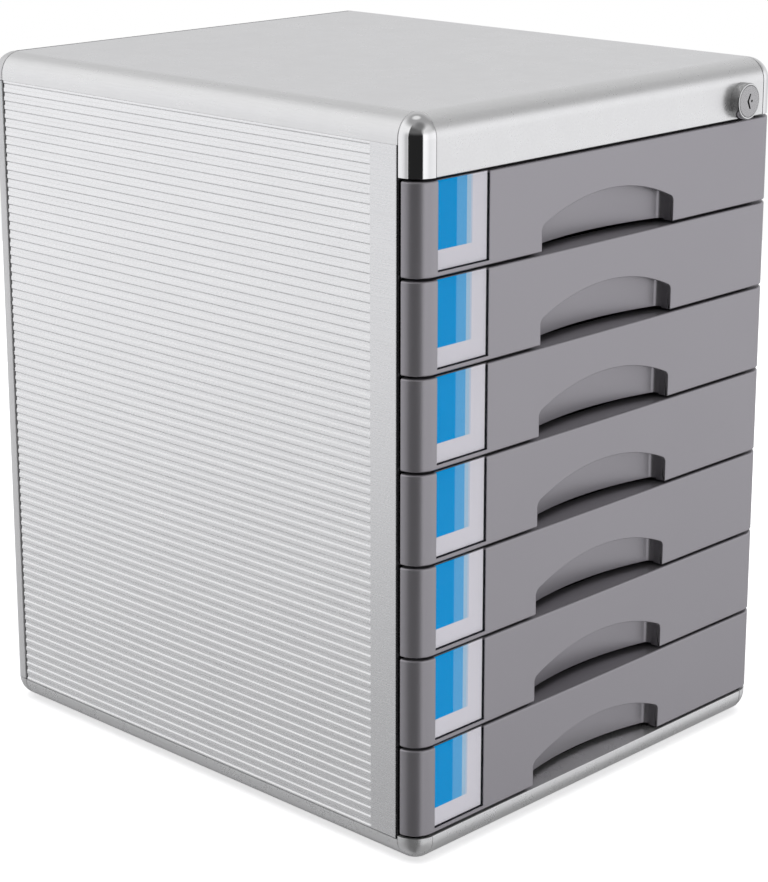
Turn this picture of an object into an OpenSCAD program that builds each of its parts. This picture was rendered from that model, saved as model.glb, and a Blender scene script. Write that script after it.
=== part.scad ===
// Desktop drawer cabinet: an aluminium case with ribbed sides, rounded corner
// caps and seven shallow drawers on runners, locked together by one lock.
// +Z is up, +X is to the right seen from the front, the drawers open towards -Y.
// Millimetres. The origin is on the ground, under the middle of the cabinet.

/* [Case] */
// Overall width across the side panels
cab_w = 304; // [296:1:320]
// Depth from the drawer faces to the back panel
cab_d = 350; // [346:1:370]
// Height of the plinth, up to the line under the lowest drawer
plinth_h = 17; // [16.5:0.5:19]
// Height of one drawer bay
bay_h = 51; // [51:0.5:56]
// Height of the top band that carries the lock
band_h = 33; // [32.5:0.5:36]
// Radius of the rounded corners and edges
corner_r = 12.8; // [12.2:0.1:13]
// Height of the rubber feet below the plinth
foot_h = 1.2; // [0.8:0.1:2]

/* [Side panels] */
// Thickness of a side panel
panel_t = 3; // [2.6:0.1:3]
// Number of grooves in a side panel
groove_n = 73; // [40:1:80]
// Width of a groove at the surface
groove_w = 3.3; // [0.8:0.1:3.6]
// Depth of a groove
groove_deep = 0.6; // [0.3:0.1:1]
// Set-back of the side panel's front edge from the drawer faces
panel_set = 14.4; // [14.2:0.1:16]
// Smooth margin between the panel's front edge and the grooves
panel_margin = 19.6; // [8:0.1:24]

/* [Drawer fronts] */
// Wall thickness of a drawer front
skin_t = 2.6; // [2.4:0.1:3]
// Clearance between two drawer fronts
front_gap = 1.5; // [1.2:0.1:2.5]
// Radius of the wrapped-round ends
end_r = 12.2; // [11:0.1:12.6]
// Chamfer along the top edge
cham_top = 1; // [0.5:0.1:2.2]
// Chamfer along the bottom edge
cham_bot = 0.8; // [0.5:0.1:2.2]
// Half width of the arched grip opening
grip_half = 56.5; // [45:0.5:60]
// Height of the straight side of the grip opening, before its rounded corner
grip_side = 14; // [12:0.5:16]
// Height of the top of the arch above the front's lower edge
grip_top = 26.6; // [22:0.2:30]
// Depth of the grip pocket in the middle
grip_deep = 16.4; // [14:0.1:16.4]
// Depth of the grip pocket at its ends
grip_end = 9; // [8:0.5:11]
// Width of the label window
label_w = 39.1; // [25:0.1:50]
// Distance of the label window from the end of the front
label_x = 14.5; // [14:0.1:20]
// Height of the lip under the label window
label_lip = 2.4; // [2:0.1:5]
// Depth of the label window
label_deep = 1.6; // [1.4:0.1:1.6]

/* [Drawer trays] */
// Wall thickness of a tray
tray_t = 2.2; // [1.8:0.1:3]
// Height of a tray
tray_h = 41.2; // [30:0.2:41.2]
// Full travel of a drawer
travel = 240; // [180:5:240]

/* [Lock] */
// Distance of the lock from the middle of the cabinet
lock_x = 117.4; // [116.5:0.1:118.5]
// Diameter of the lock's bezel
bezel_d = 21; // [19:0.5:21]
// How far the lock stands out from the band
lock_proud = 5.8; // [3:0.1:7]
// Radius on which the cam's pin turns
pin_r = 8; // [7:0.1:8]

/* [Hidden] */
$fn = 64;

n_bays = 7;
hw = cab_w / 2;                       // half width
yf = -(cab_d + lock_proud) / 2 + lock_proud;  // Y of the drawer faces
z_band = plinth_h + n_bays * bay_h;   // line under the top band
z_top = z_band + band_h;              // top of the case
r = corner_r;
z_roll = z_top - r;                   // where the top edges start to turn
z_skirt = z_top - 16;                 // seam between cover and side panel
z_base = foot_h;                      // underside of the plinth
z_rail = z_base + r;                  // top of the side rails
seam = 0.3;                           // visible joint between case parts
sheet = 1.5;                          // sheet thickness of cover and frames
cap_t = 2;                            // wall of caps, posts and rails
cap_in = r + 1.3;                     // caps reach a little past the curve
h_front = bay_h - front_gap;          // height of a drawer front
tray_w = 2 * hw - 26;                 // outer width of a tray
tray_y0 = 19;                         // tray starts this far behind the face
tray_y1 = 325;                        // and ends here
tray_z = 2.3;                         // tray floor above the front's lower edge
fl_z = 8;                             // runner flange above the front's lower edge
fl_t = 2.5;                           // its thickness
fl_x = tray_w / 2 + 5.6;              // its outer edge
fr_x = hw - panel_t;                  // outer face of a side frame
fin_in = tray_w / 2 + 1.3;            // inner end of the lock bar's fingers
bar_x0 = fr_x - sheet - 2.2;          // inner face of the lock bar
bar_x1 = fr_x - sheet - 0.3;          // outer face of the lock bar
fin_z = 16;                           // finger above the front's lower edge, unlocked
lift = pin_r * sqrt(2);               // travel of the lock bar
catch_z = fin_z + lift + 0.5;         // lower face of a tray's catch above the front's lower edge
lock_z = z_band + 11.2;               // height of the lock
pin_x = pin_r * cos(45);
pin_z = pin_r * sin(45);
bay_z = [for (i = [0 : n_bays - 1]) plinth_h + (n_bays - 1 - i) * bay_h + front_gap / 2];

c_alu = [0.80, 0.80, 0.81];
c_rib = [0.74, 0.74, 0.75];
c_front = [0.58, 0.57, 0.60];
c_cap = [0.88, 0.88, 0.90];
c_base = [0.68, 0.68, 0.69];
c_dark = [0.16, 0.16, 0.17];
c_steel = [0.45, 0.46, 0.48];
c_tray = [0.36, 0.36, 0.38];
c_rubber = [0.08, 0.08, 0.08];

// ---------- helpers ----------
// depth 0 is the plane of the drawer faces
module from_front() { translate([0, yf, 0]) children(); }
// draws a (depth, height) profile and runs it along X from x0 to x1
module along_x(x0, x1) { translate([x0, 0, 0]) rotate([90, 0, 90]) linear_extrude(x1 - x0) children(); }
// draws an (x, height) profile and runs it backwards from depth d0 to d1
module along_d(d0, d1) { translate([0, d1, 0]) rotate([90, 0, 0]) linear_extrude(d1 - d0) children(); }
module block(x0, x1, d0, d1, z0, z1) { translate([x0, d0, z0]) cube([x1 - x0, d1 - d0, z1 - z0]); }
// s = -1 keeps the left hand, s = 1 mirrors it to the right hand
module hand(s) { if (s < 0) children(); else mirror([1, 0, 0]) children(); }
module quarter(ro, ri) {
  intersection() {
    difference() { circle(ro); circle(ri); }
    square(ro + 1);
  }
}
module rounded_plan(w, d0, d1, rr) {
  translate([-w / 2 + rr, d0]) square([w - 2 * rr, d1 - d0]);
  translate([-w / 2, d0 + rr]) square([w, d1 - d0 - 2 * rr]);
  for (sx = [-1, 1], y = [d0 + rr, d1 - rr]) translate([sx * (w / 2 - rr), y]) circle(rr);
}

// ---------- case ----------
// Left side panel: rolled front edge, then full-length grooves
function groove_pts(n, z0, pitch) = [for (i = [0 : n - 1]) let (z = z0 + (i + 0.5) * pitch)
  each [[-hw, z - groove_w / 2], [-hw + groove_deep, z - groove_w / 5], [-hw + groove_deep, z + groove_w / 5], [-hw, z + groove_w / 2]]];
module panel_left() {
  z0 = z_rail + seam;
  z1 = z_skirt - seam;
  pitch = (z1 - z0) / groove_n;
  d0 = panel_set;
  d1 = panel_set + panel_margin;
  d2 = cab_d - cap_in - 1.3;
  from_front() {
    translate([0, 0, z0]) linear_extrude(z1 - z0) union() {
      translate([-hw, d0 + 1.5]) square([panel_t, d1 - d0 - 1.5]);
      translate([-hw + 1.5, d0]) square([panel_t - 1.5, d1 - d0]);
      translate([-hw + 1.5, d0 + 1.5]) circle(1.5);
    }
    along_d(d1, d2) polygon(concat([[-hw + panel_t, z0], [-hw, z0]], groove_pts(groove_n, z0, pitch), [[-hw, z1], [-hw + panel_t, z1]]));
  }
}
module side_panel_left() { color(c_rib) hand(-1) panel_left(); }
module side_panel_right() { color(c_rib) hand(1) panel_left(); }

// Formed cover: flat top, rolled sides, rolled front ending in the lock band
module top_cover() {
  color(c_alu) from_front() difference() {
    union() {
      along_d(panel_set, cab_d - cap_in - seam) {
        translate([-hw + r, z_top - sheet]) square([2 * hw - 2 * r, sheet]);
        for (s = [0, 1]) mirror([s, 0]) {
          translate([hw - r, z_roll]) quarter(r, r - sheet);
          translate([hw - sheet, z_skirt]) square([sheet, z_roll - z_skirt]);
        }
      }
      block(-hw + r + seam, hw - r - seam, cab_d - cap_in - 1, cab_d - r - seam, z_top - sheet, z_top);
      along_x(-hw + r + seam, hw - r - seam) {
        translate([r, z_top - sheet]) square([panel_set - r + 1, sheet]);
        translate([r, z_roll]) mirror([1, 0]) quarter(r, r - sheet);
        translate([0, z_band + front_gap / 2]) square([sheet, z_roll - z_band - front_gap / 2]);
        translate([0, z_band + front_gap / 2]) square([10, 1.25]);
      }
    }
    translate([lock_x, -1, lock_z]) rotate([-90, 0, 0]) cylinder(h = 5, r = 7.1);
  }
}

// (radius, height) profile of a cap: a straight wall under a quarter round
module cap_profile(hs) {
  difference() {
    union() { intersection() { circle(r); square(r); } translate([0, -hs]) square([r, hs]); }
    union() { intersection() { circle(r - cap_t); square(r - cap_t); } translate([0, -hs - 1]) square([r - cap_t, hs + 1]); }
  }
}
// Corner cap standing at the left front corner, dome on top, wall height hs
module corner_cap(hs, past) {
  translate([-hw + r, r, 0]) rotate([0, 0, 180]) rotate_extrude(angle = 90) cap_profile(hs);
  along_d(r, past) translate([-hw + r, 0]) mirror([1, 0]) cap_profile(hs);
}
module cap_front_left() { from_front() translate([0, 0, z_roll]) corner_cap(z_roll - z_band - front_gap / 2, cap_in); }
module front_cap_left() { color(c_cap) hand(-1) cap_front_left(); }
module front_cap_right() { color(c_cap) hand(1) cap_front_left(); }

// the same cap turned to the rear corners, and upside down for the plinth
module to_rear() { translate([0, cab_d, 0]) mirror([0, 1, 0]) children(); }
module cap_rear_top() { from_front() to_rear() translate([0, 0, z_roll]) corner_cap(z_roll - z_skirt, cap_in); }
module rear_top_cap_left() { color(c_cap) hand(-1) cap_rear_top(); }
module rear_top_cap_right() { color(c_cap) hand(1) cap_rear_top(); }
module cap_rear_base() { from_front() to_rear() translate([0, 0, z_rail]) mirror([0, 0, 1]) corner_cap(0.01, cap_in); }
module rear_base_cap_left() { color(c_base) hand(-1) cap_rear_base(); }
module rear_base_cap_right() { color(c_base) hand(1) cap_rear_base(); }
module cap_front_base() { from_front() translate([0, 0, z_rail]) mirror([0, 0, 1]) corner_cap(plinth_h - 0.8 - z_rail, cap_in - seam); }
module base_corner_left() { color(c_base) hand(-1) cap_front_base(); }
module base_corner_right() { color(c_base) hand(1) cap_front_base(); }

// Rear corner post: quarter round with a tongue for the rear panel's screws
module post_left() {
  from_front() translate([0, 0, z_rail + seam]) linear_extrude(z_skirt - z_rail - 2 * seam) union() {
    translate([-hw + r, cab_d - r]) mirror([1, 0]) quarter(r, r - cap_t);
    translate([-hw, cab_d - cap_in]) square([cap_t, cap_in - r]);
    translate([-hw + cap_t - 0.5, cab_d - cap_in]) square([5, 1.3]);
    translate([-hw + panel_t + sheet, cab_d - 30]) square([2, 30 - cap_in + 1.3]);
    translate([-hw + r - cap_t, cab_d - 3.5]) square([cap_t, 3]);
    translate([-hw + r - cap_t, cab_d - 3.5]) square([15, 2]);
  }
}
module rear_hole(i, rr, d0, d1) {
  from_front() for (s = [-1, 1]) translate([s * (hw - 19.5), d0, 40 + i * (z_skirt - 85) / 3]) rotate([-90, 0, 0]) cylinder(h = d1 - d0, r = rr);
}
module post_drilled() { difference() { post_left(); for (i = [0 : 3]) rear_hole(i, 1.5, cab_d - 5, cab_d); } }
module rear_post_left() { color(c_cap) hand(-1) post_drilled(); }
module rear_post_right() { color(c_cap) hand(1) post_drilled(); }

// Rear panel: sheet with a rolled top edge that meets the cover
module rear_panel() {
  x1 = hw - r - seam;
  color(c_dark) difference() {
    from_front() along_x(-x1, x1) {
      translate([cab_d - r, z_roll]) quarter(r, r - sheet);
      translate([cab_d - sheet, z_rail + seam]) square([sheet, z_roll - z_rail - seam]);
    }
    for (i = [0 : 3]) {
      rear_hole(i, 1.7, cab_d - 5, cab_d + 1);
      from_front() for (s = [-1, 1]) translate([s * (hw - 19.5), cab_d - sheet, 40 + i * (z_skirt - 85) / 3]) rotate([-90, 0, 0]) cylinder(h = sheet + 0.001, r1 = 1.7, r2 = 3.2);
    }
  }
}
// Countersunk screws of the rear panel and pan-head screws under the base
module case_screws() {
  color(c_steel) from_front() {
    for (s = [-1, 1], i = [0 : 3]) translate([s * (hw - 19.5), 0, 40 + i * (z_skirt - 85) / 3]) rotate([-90, 0, 0]) difference() {
      union() {
        translate([0, 0, cab_d - sheet]) cylinder(h = sheet, r1 = 1.6, r2 = 3.1);
        translate([0, 0, cab_d - 9]) cylinder(h = 8, r = 1.4);
      }
      translate([-0.45, -2.2, cab_d - 0.8]) cube([0.9, 4.4, 1]);
      translate([-2.2, -0.45, cab_d - 0.8]) cube([4.4, 0.9, 1]);
    }
    for (s = [-1, 1], d = [55, cab_d - 55]) translate([s * (fr_x - 6), d, z_rail - 3.9]) {
      cylinder(h = 2.35, r = 3);
      cylinder(h = 7, r = 1.4);
    }
  }
}

// ---------- plinth ----------
module base_front_rail() {
  color(c_base) from_front() along_x(-hw + r + seam, hw - r - seam) {
    translate([r, z_rail]) rotate(180) quarter(r, r - cap_t);
    translate([0, z_rail]) square([cap_t, plinth_h - 0.8 - z_rail]);
    translate([0, plinth_h - 2.4]) square([19, 1.6]);
    translate([r, z_base]) square([9, cap_t]);
  }
}
module base_rear_rail() {
  color(c_base) from_front() along_x(-hw + r + seam, hw - r - seam) {
    translate([cab_d - r, z_rail]) mirror([0, 1]) quarter(r, r - cap_t);
    translate([cab_d - 14, z_rail - 1.6]) square([13, 1.6]);
    translate([cab_d - r - 9, z_base]) square([9, cap_t]);
  }
}
module side_rail_left() {
  from_front() {
    along_d(cap_in, cab_d - cap_in - seam) translate([-hw + r, z_rail]) rotate(180) quarter(r, r - cap_t);
    block(-hw + r - 0.01, -hw + r + 9, r + 9 + seam, cab_d - r - 9 - seam, z_base, z_base + cap_t);
  }
}
module base_side_rail_left() { color(c_base) hand(-1) side_rail_left(); }
module base_side_rail_right() { color(c_base) hand(1) side_rail_left(); }
// Floor sheet on two top-hat cross members that carry the side frames
module base_tray() {
  xi = hw - r - 9 - seam;
  color(c_dark) from_front() difference() {
    union() {
      block(-xi, xi, r + 9 + seam, cab_d - r - 9 - seam, z_base + 0.2, z_base + 1.8);
      for (d = [40, cab_d - 70]) {
        block(-xi, xi, d, d + 1.5, z_base + 1.7, z_rail - 1.4);
        block(-xi, xi, d + 28.5, d + 30, z_base + 1.7, z_rail - 1.4);
        block(-fr_x, fr_x, d, d + 30, z_rail - 1.5, z_rail);
      }
    }
    for (s = [-1, 1], d = [55, cab_d - 55]) translate([s * (fr_x - 6), d, z_rail - 3]) cylinder(h = 4, r = 1.7);
    for (s = [-1, 1], d = [30, cab_d - 30]) translate([s * (hw - 37), d, 0]) cylinder(h = 10, r = 2.1);
  }
}
// Pressed-in rubber feet
module feet() {
  color(c_rubber) from_front() for (s = [-1, 1], d = [30, cab_d - 30]) translate([s * (hw - 37), d, 0]) {
    cylinder(h = z_base + 0.2, r = 8);
    cylinder(h = z_base + 2.6, r = 2);
    translate([0, 0, z_base + 1.8]) cylinder(h = 1.4, r = 3.2);
  }
}

// ---------- inner frame ----------
module frame_left() {
  x0 = -fr_x;
  from_front() difference() {
    union() {
      block(x0, x0 + sheet, 15.4, cab_d - 20, z_rail, z_top - 10);
      block(x0, -fl_x - 0.6, 15.4, 16.9, z_rail, z_skirt - 2);
      block(x0, x0 + 13, 45, cab_d - 32, z_top - 11.5, z_top - 10);
      for (d = [42, cab_d - 68]) block(x0, x0 + 12, d, d + 26, z_rail, z_rail + sheet);
    }
    for (d = [55, cab_d - 55]) translate([x0 + 6, d, z_rail - 1]) cylinder(h = 4, r = 1.45);
  }
}
// Clips that guide the lock bar
module bar_clip(z) {
  xo = fr_x - sheet;
  for (d = [23.2, 37.3]) block(bar_x0 - 1.5, xo, d, d + 1.5, z, z + 6);
  block(bar_x0 - 1.5, bar_x0 - 0.3, 23.2, 27, z, z + 6);
  block(bar_x0 - 1.5, bar_x0 - 0.3, 35, 38.8, z, z + 6);
}
module side_frame_left() { color(c_dark) hand(-1) frame_left(); }
module side_frame_right() {
  color(c_dark) {
    hand(1) frame_left();
    from_front() for (i = [1, 3, 5]) bar_clip(bay_z[i] + 38);
  }
}
// C-shaped runner for each drawer, with the block that stops its tray
module runner_left(z) {
  x0 = -fr_x + sheet;
  block(x0, x0 + 1.9, 40, 318, z - 1.85, z + 6.6);
  block(x0 + 1.8, -tray_w / 2 - 1.2, 40, 318, z - 1.85, z - 0.35);
  block(x0 + 1.8, -tray_w / 2 - 1.2, 40, 318, z + 5.1, z + 6.6);
  block(x0 + 1.8, -tray_w / 2 - 2.5, 318 - travel, 321.6 - travel, z + fl_t + 0.35, z + 5.2);
}
module runners_left() { color(c_steel) hand(-1) from_front() for (z = bay_z) runner_left(z + fl_z); }
module runners_right() { color(c_steel) hand(1) from_front() for (z = bay_z) runner_left(z + fl_z); }

// ---------- lock ----------
module at_lock() { from_front() translate([lock_x, 0, lock_z]) rotate([-90, 0, 0]) children(); }
module lock_housing() {
  color(c_cap) at_lock() difference() {
    union() {
      translate([0, 0, -lock_proud + 0.1]) cylinder(h = 0.5, r1 = bezel_d / 2 - 0.5, r2 = bezel_d / 2);
      translate([0, 0, -lock_proud + 0.6]) cylinder(h = lock_proud - 0.6, r = bezel_d / 2);
      translate([0, 0, -0.1]) cylinder(h = 20.1, r = 7);
    }
    translate([0, 0, -lock_proud - 1]) cylinder(h = 3.1, r = 9.25);
    translate([0, 0, -lock_proud]) cylinder(h = 30, r = 5.05);
  }
}
module lock_nut() {
  color(c_steel) at_lock() difference() {
    translate([0, 0, sheet]) cylinder(h = 3.2, r = 10, $fn = 6);
    translate([0, 0, 1]) cylinder(h = 5, r = 7.05);
  }
}
// Zig-zag keyway, seen from the front, as offsets from the plug's axis
key_pts = [[1.6, 4.2], [0.2, 4.2], [-2.1, 0.1], [0.1, -4.4], [1.5, -4.4], [-0.5, 0.1]];
module lock_plug() {
  color(c_steel) from_front() translate([lock_x, 0, lock_z]) difference() {
    rotate([-90, 0, 0]) union() {
      translate([0, 0, -lock_proud]) cylinder(h = 1.9, r = 9.1);
      translate([0, 0, -lock_proud + 1.8]) cylinder(h = lock_proud + 18.8, r = 5);
      intersection() {
        translate([0, 0, 20]) cylinder(h = 2.8, r = 4.6);
        translate([-3.2, -5, 20]) cube([6.4, 10, 3]);
      }
    }
    translate([0, -lock_proud + 9, 0]) rotate([90, 0, 0]) linear_extrude(10) polygon(key_pts);
    translate([2.3, -lock_proud - 0.1, 0]) rotate([-90, 0, 0]) cylinder(h = 0.6, r = 0.8);
    translate([0, 15, 0]) rotate([-90, 0, 0]) cylinder(h = 12, r = 1.65);
  }
}
// Cam with the pin that lifts the lock bar to lock and drops it to unlock
module lock_cam() {
  color(c_steel) at_lock() difference() {
    union() {
      translate([0, 0, 20.7]) cylinder(h = 1.9, r = 6.6);
      translate([0, 0, 20.7]) rotate([0, 0, 45]) translate([0, -3, 0]) cube([pin_r, 6, 1.9]);
      translate([pin_x, pin_z, 20.7]) cylinder(h = 1.9, r = 3);
      translate([pin_x, pin_z, 20.7]) cylinder(h = 6.8, r = 1.5);
    }
    intersection() {
      translate([0, 0, 20]) cylinder(h = 3, r = 4.7);
      translate([-3.3, -5, 20]) cube([6.6, 10, 3]);
    }
  }
}
module lock_cam_screw() {
  color(c_steel) at_lock() difference() {
    union() {
      translate([0, 0, 22.85]) cylinder(h = 1.7, r = 3.6);
      translate([0, 0, 15.5]) cylinder(h = 7.5, r = 1.6);
    }
    translate([-2.6, -0.5, 23.7]) cube([5.2, 1, 2]);
  }
}
// Vertical bar with one finger for each drawer and a slotted arm for the pin
module lock_bar() {
  za = lock_z - pin_z;
  color(c_steel) from_front() {
    difference() {
      union() {
        block(bar_x0, bar_x1, 25, 37, bay_z[6] + 12, za + 4.6);
        block(lock_x + 1.2, bar_x1, 25, 26.8, za - 4.6, za + 4.6);
      }
      translate([lock_x, 24, za]) rotate([-90, 0, 0]) linear_extrude(4) union() {
        translate([pin_x - 0.6, -1.95]) square([pin_r - pin_x + 1.2, 3.9]);
        translate([pin_x - 0.6, 0]) circle(1.95);
        translate([pin_r + 0.6, 0]) circle(1.95);
      }
    }
  }
}
// One steel finger per drawer, welded on the bar's inner face
module lock_fingers() {
  color(c_steel) from_front() for (z = bay_z) block(fin_in, bar_x0, 26, 28.5, z + fin_z, z + fin_z + 6);
}

// ---------- drawers ----------
// Solid with wrapped ends and chamfered edges; g shrinks it for the inside
module front_mass() {
  h = h_front;
  along_x(-hw + end_r, hw - end_r)
    polygon([[cham_bot, 0], [0, cham_bot], [0, h - cham_top], [cham_top, h], [end_r, h], [end_r, 0]]);
  for (s = [0, 1]) mirror([s, 0, 0]) translate([hw - end_r, end_r, 0]) rotate([0, 0, -90]) rotate_extrude(angle = 90)
    polygon([[0, 0], [end_r - cham_bot, 0], [end_r, cham_bot], [end_r, h - cham_top], [end_r - cham_top, h], [0, h]]);
}
module front_cavity() {
  translate([0, 0, skin_t]) linear_extrude(h_front - 2 * skin_t) union() {
    translate([-hw + end_r, skin_t]) square([2 * (hw - end_r), end_r - skin_t + 1]);
    for (s = [0, 1]) mirror([s, 0]) translate([hw - end_r, end_r]) {
      mirror([0, 1]) intersection() { circle(end_r - skin_t); square(end_r); }
      square([end_r - skin_t, 1]);
    }
  }
}
// Radius and centre of an arc with half chord a and rise b
function arc_r(a, b) = (a * a + b * b) / (2 * b);
// Arched opening in (x, height)
module arch(g) {
  ra = arc_r(grip_half, grip_top - grip_side) ;
  rc = 4;
  zc = grip_top - ra + sqrt(pow(ra - rc, 2) - pow(grip_half - rc, 2));
  xt = (grip_half - rc) * ra / (ra - rc);
  translate([-grip_half, -5]) square([2 * grip_half, zc + 5]);
  for (s = [-1, 1]) translate([s * (grip_half - rc), zc]) circle(rc);
  intersection() {
    translate([0, grip_top - ra]) circle(ra, $fn = 256);
    translate([-xt, 0]) square([2 * xt, 40]);
  }
}
// Plan of the pocket behind the arch in (x, depth), grown by g
module pocket_plan(g) {
  ra = arc_r(grip_half, grip_deep - grip_end);
  rc = 4.5;
  dc = grip_deep - ra + sqrt(pow(ra - rc, 2) - pow(grip_half - rc, 2));
  xt = (grip_half - rc) * (ra + g) / (ra - rc);
  translate([-grip_half - g, 0]) square([2 * (grip_half + g), dc]);
  for (s = [-1, 1]) translate([s * (grip_half - rc), dc]) circle(rc + g);
  intersection() {
    translate([0, grip_deep - ra]) circle(ra + g, $fn = 256);
    translate([-xt, 0]) square([2 * xt, 30]);
  }
}
module drawer_front() {
  h = h_front;
  zp = grip_top + 8;
  color(c_front) difference() {
    union() {
      difference() { front_mass(); front_cavity(); }
      block(-tray_w / 2 + 1, tray_w / 2 - 1, end_r - 1, tray_y0, h - skin_t, h);
      intersection() {
        linear_extrude(zp + 2) pocket_plan(2);
        block(-hw, hw, skin_t - 0.5, 30, 0, h);
      }
      for (x = [-106, 94]) block(x, x + 12, skin_t - 0.5, tray_y0, 14, 34);
    }
    intersection() {
      translate([0, 0, -1]) linear_extrude(zp + 1) pocket_plan(0);
      block(-hw, hw, skin_t, 30, -2, zp);
    }
    block(-grip_half, grip_half, -1, skin_t + 2, -1, skin_t + 0.2);
    block(-grip_half - 3, grip_half + 3, 6.5, 30, -1, 0.8);
    along_d(-1, skin_t + 0.5) arch(0);
    block(-hw + label_x, -hw + label_x + label_w, -1, label_deep, label_lip, h + 1);
  }
}
module label_card() {
  color([0.10, 0.55, 0.80]) block(-hw + label_x + 0.3, -hw + label_x + label_w - 1.3, label_deep - 0.4, label_deep, label_lip + 0.9, h_front - 0.3);
}
module label_cover() {
  h = h_front;
  color([0.85, 0.92, 0.95, 0.4]) along_x(-hw + label_x + 0.2, -hw + label_x + label_w - 0.2)
    polygon([[0.3, label_lip + 0.2], [0.3, h - 1.7], [0.8, h - 1.1], [label_deep - 0.4, h - 1.1], [label_deep - 0.4, label_lip + 0.2]]);
}
// Tray with a rim, a runner flange on each side and the catch for the lock bar
module drawer_tray() {
  w = tray_w;
  color(c_tray) {
    difference() {
      union() {
        translate([0, 0, tray_z]) linear_extrude(tray_h) rounded_plan(w, tray_y0, tray_y1, 5);
        translate([0, 0, tray_z + tray_h - 2]) linear_extrude(2) rounded_plan(w + 3, tray_y0 + 4, tray_y1 + 1.5, 6);
        for (s = [0, 1]) mirror([s, 0, 0]) {
          block(w / 2 - 0.5, fl_x, 30, 326, fl_z, fl_z + fl_t);
          block(w / 2 + 2, fl_x, 322, 326, fl_z + fl_t - 0.1, fl_z + 4.6);
        }
      }
      translate([0, 0, tray_z + tray_t]) linear_extrude(tray_h) rounded_plan(w - 2 * tray_t, tray_y0 + tray_t, tray_y1 - tray_t, 5 - tray_t);
      translate([w / 2 - tray_t - 1, 30.7, catch_z + 2.5]) rotate([0, 90, 0]) cylinder(h = tray_t + 3, r = 1.25);
    }
    // lock catch, its stud pressed through the tray's side wall
    block(w / 2 + 0.05, fl_x - 0.2, 29.2, 32.2, catch_z, catch_z + 5);
    translate([w / 2 - tray_t, 30.7, catch_z + 2.5]) rotate([0, 90, 0]) cylinder(h = tray_t + 0.5, r = 1.2);
  }
}
module in_bay(i) { from_front() translate([0, 0, bay_z[i - 1]]) children(); }

top_cover();
side_panel_left();
side_panel_right();
front_cap_left();
front_cap_right();
rear_panel();
rear_post_left();
rear_post_right();
rear_top_cap_left();
rear_top_cap_right();
rear_base_cap_left();
rear_base_cap_right();
base_tray();
base_front_rail();
base_rear_rail();
base_side_rail_left();
base_side_rail_right();
base_corner_left();
base_corner_right();
case_screws();
feet();
side_frame_left();
side_frame_right();
runners_left();
runners_right();
lock_housing();
lock_nut();
lock_plug();
lock_cam();
lock_cam_screw();
lock_bar();
lock_fingers();
for (i = [1 : n_bays]) {
  in_bay(i) drawer_tray();
  in_bay(i) drawer_front();
  in_bay(i) label_card();
  in_bay(i) label_cover();
}
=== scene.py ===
import math

import bmesh
import bpy
from mathutils import Matrix, Vector


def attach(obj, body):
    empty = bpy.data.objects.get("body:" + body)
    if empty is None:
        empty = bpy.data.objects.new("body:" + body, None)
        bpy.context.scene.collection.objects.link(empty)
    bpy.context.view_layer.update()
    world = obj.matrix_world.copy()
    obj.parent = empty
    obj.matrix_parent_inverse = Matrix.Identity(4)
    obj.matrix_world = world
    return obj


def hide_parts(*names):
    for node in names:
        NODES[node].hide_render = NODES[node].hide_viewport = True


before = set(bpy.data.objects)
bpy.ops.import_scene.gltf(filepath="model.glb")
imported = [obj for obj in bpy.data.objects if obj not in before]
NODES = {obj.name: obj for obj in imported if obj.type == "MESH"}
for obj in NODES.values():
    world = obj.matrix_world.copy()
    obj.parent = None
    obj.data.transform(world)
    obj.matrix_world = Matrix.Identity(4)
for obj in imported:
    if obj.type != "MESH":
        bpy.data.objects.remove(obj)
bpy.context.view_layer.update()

# ------------------------------------------------------------------ dimensions
# millimetres: x to the right, d behind the drawer faces, z up
HW, R, DEEP, YF = 152.0, 12.8, 350.0, -172.1
PL, BAY, ZBAND, ZTOP = 17.0, 51.0, 374.0, 407.0
ZROLL, ZSK, ZBASE, ZRAIL = 394.2, 391.0, 1.2, 14.0
SEAM, HF = 0.3, 49.5
LX, LZ = 117.4, 385.2
PROUD = 5.8
BAYZ = [PL + (6 - i) * BAY + 0.75 for i in range(7)]
SKIN, ENDR = 2.6, 12.2
LABX0, LABX1, LIP, LABD = -137.5, -98.4, 2.4, 1.6


def rad(a):
    return a * math.pi / 180.0


def arc(cx, cy, r, a0, a1, n):
    return [(cx + r * math.cos(rad(a0 + (a1 - a0) * i / n)), cy + r * math.sin(rad(a0 + (a1 - a0) * i / n))) for i in range(n + 1)]


def rounded(pts, seg=4):
    """Closed outline with its corners rounded; a point is (u, v) or (u, v, radius)."""
    out = []
    n = len(pts)
    for i in range(n):
        p = pts[i]
        r = p[2] if len(p) > 2 else 0.0
        if r <= 0:
            out.append((p[0], p[1]))
            continue
        a, b = pts[i - 1], pts[(i + 1) % n]
        ax, ay, bx, by = a[0] - p[0], a[1] - p[1], b[0] - p[0], b[1] - p[1]
        la, lb = math.hypot(ax, ay), math.hypot(bx, by)
        ax, ay, bx, by = ax / la, ay / la, bx / lb, by / lb
        ang = math.acos(max(-1, min(1, ax * bx + ay * by)))
        if ang > math.pi - 0.02:
            out.append((p[0], p[1]))
            continue
        t = min(r / math.tan(ang / 2), la * 0.49, lb * 0.49)
        rr = t * math.tan(ang / 2)
        mx, my = ax + bx, ay + by
        lm = math.hypot(mx, my)
        h = rr / math.sin(ang / 2)
        cx, cy = p[0] + mx / lm * h, p[1] + my / lm * h
        s0 = math.atan2(p[1] + ay * t - cy, p[0] + ax * t - cx)
        s1 = math.atan2(p[1] + by * t - cy, p[0] + bx * t - cx)
        d = (s1 - s0 + math.pi) % (2 * math.pi) - math.pi
        for k in range(seg + 1):
            s = s0 + d * k / seg
            out.append((cx + rr * math.cos(s), cy + rr * math.sin(s)))
    return out


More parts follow.
